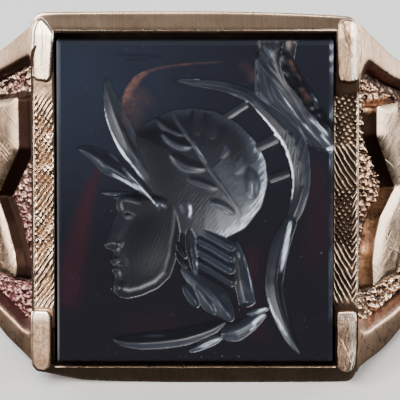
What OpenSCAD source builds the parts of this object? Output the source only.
// A cast gold ring that holds a rectangular quartz tablet with a wheel-cut intaglio.
// It lies on its side, on the lower edge of its head and the back of its shank.

/* [Finger and shank] */
// Inner diameter, a men's size 10
finger_d = 19.8; // [19:0.1:20.6]
// Thickness of the shank at the back
shank_t = 1.5; // [1.2:0.1:1.8]
// Width of the shank at the back
back_w = 4.4; // [3.6:0.1:5]
// Radius of the hollow curve of the ring's two sides
side_r = 68; // [60:1:80]

/* [Shoulders] */
// Width of the shoulders where they meet the head
shoulder_w = 15.8; // [15.4:0.1:16]
// Depth of the shoulders' outer end below the stone's table
shoulder_drop = 2; // [1.9:0.05:2.3]
// Width of the smooth border along each side of a shoulder, where it meets the head
border_w = 1.5; // [1.3:0.05:1.6]
// How much the border narrows for each millimetre down the shoulder
border_taper = 0.1; // [0.06:0.01:0.12]
// Height of the border and the motif above the ground between them
relief_h = 0.4; // [0.25:0.05:0.45]
// Length of the panel that the border frames
panel_l = 7.4; // [7:0.1:7.8]
// Where the motif starts on the left and on the right shoulder
motif_start = [1.35, 1.8]; // [1:0.05:2.2]

/* [Head] */
// Width of the head, across the finger
head_w = 14.3; // [14.2:0.05:14.5]
// Length of the head, along the finger, at its middle
head_l = 16.4; // [16.3:0.1:16.8]
// Bow of the head's two ends
head_bow = 0.25; // [0.15:0.05:0.35]
// Height of the stone's table above the finger hole
table_h = 4; // [3.9:0.05:4.4]
// Depth of an end rail's inner edge below the table
rail_in_drop = 0.95; // [0.8:0.05:1.1]
// Depth of an end rail's outer edge below the table
rail_out_drop = 1.9; // [1.6:0.05:1.95]
// Depth of the hatched side rails below the table
strip_drop = 0.65; // [0.5:0.05:0.75]
// Angle at which the head's end walls lean in towards the finger
end_lean = 25; // [20:1:28]

/* [Claws] */
// Depth of the claws' tops below the table
claw_drop = 0.35; // [0.25:0.05:0.45]
// Length of a claw from its rounded inner end to the head's corner
claw_l = 3; // [2.6:0.1:3.4]
// Shift of the four claws along the finger
claw_shift = 0.12; // [0:0.02:0.2]
// Width of the bevel on a claw's outer edges
claw_bevel = 0.2; // [0.1:0.05:0.25]

/* [Stone] */
// Width of the stone, across the finger
stone_w = 12; // [11.9:0.05:12.05]
// Length of the stone, along the finger
stone_l = 14; // [13.9:0.05:14.1]
// Thickness of the stone
stone_t = 2.8; // [2.6:0.05:2.85]
// Width of the thin bevel round the table
crown_bevel = 0.12; // [0.08:0.01:0.16]
// Width of the bevels round the back
back_bevel = 0.6; // [0.4:0.05:0.8]
// Gap between the stone and the side rails
side_gap = 0.13; // [0.1:0.01:0.15]
// Gap between the stone and the end rails
end_gap = 0.3; // [0.25:0.01:0.35]

/* [Intaglio] */
// Radius of the helmet's bowl at the table
bowl_r = 2.9; // [2.6:0.05:3]
// Depth of the helmet's bowl
bowl_depth = 0.7; // [0.5:0.05:0.9]
// Radius of the crest's arc round the bowl
crest_r = 3.95; // [3.8:0.05:4.1]
// Width of the crest's groove at the table
crest_w = 0.7; // [0.5:0.05:0.8]
// Depth of the crest's groove
crest_depth = 0.4; // [0.2:0.05:0.5]

/* [Hidden] */
$fn = 96;
gold = [0.80, 0.62, 0.48];
quartz = [0.07, 0.07, 0.10];

finger_r = finger_d / 2;
shank_r = finger_r + shank_t;
table_z = finger_r + table_h;
rail_in_z = table_z - rail_in_drop;
rail_out_z = table_z - rail_out_drop;
strip_z = table_z - strip_drop;
claw_z = table_z - claw_drop;
shoulder_z = table_z - shoulder_drop;

// The pocket that the stone sits in
pocket_w = stone_w + 2 * side_gap;
pocket_l = stone_l + 2 * end_gap;
pocket_gap = 0.06;
pocket_z = table_z - stone_t - pocket_gap;
rail_w = (head_w - pocket_w) / 2;

// The bowed ends are cones whose axes stand far behind the opposite end
bow_r = ((head_w / 2) ^ 2 + head_bow ^ 2) / (2 * head_bow);
corner_r = 0.55;

// The straight shoulder runs from the head's side to its tangent point on the shank
shoulder_x = head_w / 2;
tangent_a = atan2(shoulder_z, shoulder_x) - acos(shank_r / norm([shoulder_x, shoulder_z]));
tangent_p = shank_r * [cos(tangent_a), sin(tangent_a)];
slope_a = 90 - tangent_a;

// The hollow side curve passes through the shoulder's outer end and the back of the shank
side_a = [shoulder_z, shoulder_w / 2];
side_b = [-shank_r, back_w / 2];
side_chord = norm(side_a - side_b);
side_dir = (side_a - side_b) / side_chord;
side_c = (side_a + side_b) / 2
    + sqrt(side_r ^ 2 - (side_chord / 2) ^ 2) * [-side_dir[1], side_dir[0]];

// Half the ring's width at a height above the finger's axis
function half_width(z) = side_c[1] - sqrt(side_r ^ 2 - (z - side_c[0]) ^ 2);
// Height above the finger's axis at a distance down the shoulder's slope
function slope_z(s) = shoulder_z - s * sin(slope_a);

// The tilt at which the head's lower edge and the back of the shank touch one plane
rest_tilt = atan((head_l - back_w) / 2 / (rail_out_z + shank_r));
rest_drop = back_w / 2 * cos(rest_tilt) + shank_r * sin(rest_tilt);
rest_front = table_z * cos(rest_tilt) + stone_l / 2 * sin(rest_tilt);
rest_back = shank_r * cos(rest_tilt) + back_w / 2 * sin(rest_tilt);

// The ring is drawn with its table facing up and the finger along Y, then laid on its side
module lay() {
    translate([0, (rest_front - rest_back) / 2, rest_drop])
        rotate([90 - rest_tilt, 0, 0])
            children();
}

// Side profile, in depth along the finger and height, carried across the whole ring
module side_profile() {
    reach = 2 * table_z;
    rotate([90, 0, 90])
        linear_extrude(reach, center = true)
            difference() {
                translate([-head_l, -shank_r - 1])
                    square([2 * head_l, reach + 2]);
                for (side = [-1, 1])
                    translate([side * side_c[1], side_c[0]])
                        circle(r = side_r, $fn = 720);
            }
}

// Front profile: the round shank with straight shoulders rising to the head
module front_profile() {
    rotate([90, 0, 0])
        linear_extrude(2 * head_l, center = true)
            union() {
                circle(r = shank_r, $fn = 240);
                polygon([
                    [shoulder_x, shoulder_z], tangent_p, [0, 0],
                    [-tangent_p[0], tangent_p[1]], [-shoulder_x, shoulder_z],
                ]);
            }
}

module shank() {
    intersection() {
        front_profile();
        side_profile();
    }
}

// The outline of the motif, from its swallow tail near the head to its blunt far end
module motif_outline(start) {
    wide_in = 1.75;
    wide_out = 4.25;
    wide_flank = 3.9;
    slim_in = 2.65;
    slim_out = 3.8;
    slim_set_back = 0.35;
    notch = 2.6;
    flank = 2.9;
    tip = 5.2;
    tip_half = 0.7;
    translate([start, 0])
        polygon([
            [0, -wide_out], [0, -wide_in], [notch, 0],
            [slim_set_back, slim_in], [slim_set_back, slim_out],
            [flank, slim_out], [tip, tip_half], [tip, -tip_half], [flank, -wide_flank],
        ]);
}

// The ground that is sunk between the border, the motif and the head
module ground_outline(start) {
    steps = 8;
    taper_l = 1;
    near = [for (i = [0 : steps]) i * (panel_l - taper_l) / steps];
    edge = [for (s = near) [s, half_width(slope_z(s)) - border_w + border_taper * s]];
    end_half = edge[steps][1] / 2;
    difference() {
        polygon(concat(
            [for (p = edge) p],
            [[panel_l, end_half], [panel_l, -end_half]],
            [for (i = [steps : -1 : 0]) [edge[i][0], -edge[i][1]]]
        ));
        motif_outline(start);
    }
}

// One shoulder's sunk ground, laid on the shoulder's slope
module ground_cut(start) {
    translate([shoulder_x, 0, shoulder_z])
        rotate([0, slope_a, 0])
            translate([0, 0, -relief_h])
                linear_extrude(2 * relief_h)
                    ground_outline(start);
}

// Profile of the head's end in plan radius and height: end wall, sloped rail, then upright
module end_cone(top) {
    wall_h = rail_out_z;
    rail_slope_w = head_l / 2 - pocket_l / 2;
    translate([0, head_l / 2 - bow_r, 0])
        rotate_extrude($fn = 720)
            polygon([
                [0, 0], [bow_r - wall_h * tan(end_lean), 0], [bow_r, wall_h],
                [bow_r - (top - wall_h) * rail_slope_w / (rail_in_z - rail_out_z), top],
                [0, top],
            ]);
}

// The head's plan, a rectangle with round corners
module head_plan() {
    square([head_w - 2 * corner_r, head_l], center = true);
    square([head_w, head_l - 2 * corner_r - 2 * head_bow], center = true);
    for (x = [-1, 1], y = [-1, 1])
        translate([x * (head_w / 2 - corner_r), y * (head_l / 2 - corner_r - head_bow)])
            circle(r = corner_r);
}

// The block that carries the stone, up to its sloped end rails
module head_block() {
    cone_top = table_z;
    intersection() {
        linear_extrude(strip_z)
            head_plan();
        end_cone(cone_top);
        mirror([0, 1, 0])
            end_cone(cone_top);
    }
}

// One corner claw on the right side at the far end: a bar with a round inner end
module claw() {
    bar_r = rail_w / 2;
    set_in = 0.05;
    sunk = 0.1;
    far = head_l / 2 - head_bow - set_in;
    inner = far - claw_l;
    base_z = rail_out_z - sunk;
    difference() {
        translate([head_w / 2 - bar_r, 0, base_z])
            linear_extrude(claw_z - base_z) {
                translate([-bar_r, inner + bar_r])
                    square([rail_w, far - inner - bar_r - corner_r]);
                translate([-bar_r, inner + bar_r])
                    square([rail_w - corner_r, far - inner - bar_r]);
                translate([0, inner + bar_r])
                    circle(r = bar_r);
                translate([bar_r - corner_r, far - corner_r])
                    circle(r = corner_r);
            }
        // Outer bevels
        translate([head_w / 2, 0, claw_z - claw_bevel])
            rotate([0, -45, 0])
                translate([0, -head_l, 0])
                    cube([2, 2 * head_l, 2]);
        translate([0, far, claw_z - 2 * claw_bevel])
            rotate([45, 0, 0])
                translate([-head_w, 0, 0])
                    cube([2 * head_w, 2, 2]);
    }
}

module claws() {
    translate([0, claw_shift / 2, 0])
        for (x = [0, 1], y = [0, 1])
            mirror([x, 0, 0])
                mirror([0, y, 0])
                    claw();
}

module ring_body() {
    color(gold)
        lay()
            difference() {
                union() {
                    difference() {
                        shank();
                        ground_cut(motif_start[1]);
                        rotate([0, 0, 180])
                            ground_cut(motif_start[0]);
                    }
                    head_block();
                    claws();
                }
                translate([0, 0, pocket_z + table_z / 2])
                    cube([pocket_w, pocket_l, table_z], center = true);
                rotate([90, 0, 0])
                    cylinder(r = finger_r, h = 2 * head_l, center = true, $fn = 240);
            }
}

// A stone's profile across one of its widths: table, crown bevel, side, back bevel, back
module stone_profile(width) {
    half = width / 2;
    polygon([
        [-half + crown_bevel, 0], [-half, -crown_bevel], [-half, -stone_t + back_bevel],
        [-half + back_bevel, -stone_t], [half - back_bevel, -stone_t],
        [half, -stone_t + back_bevel], [half, -crown_bevel], [half - crown_bevel, 0],
    ]);
}

module tablet() {
    intersection() {
        rotate([90, 0, 0])
            linear_extrude(2 * stone_l, center = true)
                stone_profile(stone_w);
        rotate([90, 0, 90])
            linear_extrude(2 * stone_l, center = true)
                stone_profile(stone_l);
    }
}

// A cut by the thin edge of a grinding wheel, between two points on the table
module wheel_cut(from, to, width, depth) {
    span = norm(to - from);
    wheel_r = (span ^ 2 / 4 + depth ^ 2) / (2 * depth);
    heading = atan2(to[1] - from[1], to[0] - from[0]);
    translate([(from[0] + to[0]) / 2, (from[1] + to[1]) / 2, wheel_r - depth])
        rotate([90, 0, heading])
            rotate_extrude($fn = 180)
                polygon([
                    [0, -width / 2], [wheel_r - depth, -width / 2], [wheel_r, 0],
                    [wheel_r - depth, width / 2], [0, width / 2],
                ]);
}

// A round dish sunk into the table
module dish(centre, radius, depth) {
    ball_r = (radius ^ 2 + depth ^ 2) / (2 * depth);
    translate([centre[0], centre[1], ball_r - depth])
        sphere(r = ball_r, $fn = 180);
}

// A V-shaped groove along an arc in the table
module arc_groove(centre, radius, start, sweep, width, depth) {
    translate([centre[0], centre[1], 0])
        rotate_extrude(angle = sweep, start = start, $fn = 180)
            polygon([
                [radius - width / 2, 0], [radius, -depth], [radius + width / 2, 0],
                [radius + width / 2, 1], [radius - width / 2, 1],
            ]);
}

// The places of the main cuts, from the middle of the table
bowl_c = [0.26, 1.17];
tail_c = [7, -3.35];
tail_share = 0.8;
// Centre, radius and depth of the dishes for the face and the neck
dishes = [
    [[-1.75, -1.95], 1.7, 0.45],
    [[-0.1, -3.7], 1.5, 0.4],
];
// Start, end, width and depth of the visor's two feathers and the cut-off of the neck
cuts = [
    [[-3.8, 5.3], [-1.6, 0.5], 0.5, 0.3],
    [[-5.1, 2.5], [-1.3, -0.4], 0.45, 0.25],
    [[-3.7, -6], [1.5, -5.25], 0.4, 0.25],
];

module intaglio() {
    dish(bowl_c, bowl_r, bowl_depth);
    for (d = dishes)
        dish(d[0], d[1], d[2]);
    arc_groove(bowl_c, crest_r, -22, 122, crest_w, crest_depth);
    arc_groove(tail_c, crest_r, 138, 85, tail_share * crest_w, tail_share * crest_depth);
    for (c = cuts)
        wheel_cut(c[0], c[1], c[2], c[3]);
}

module quartz_stone() {
    color(quartz)
        lay()
            translate([0, 0, table_z])
                difference() {
                    tablet();
                    intaglio();
                }
}

ring_body();
quartz_stone();
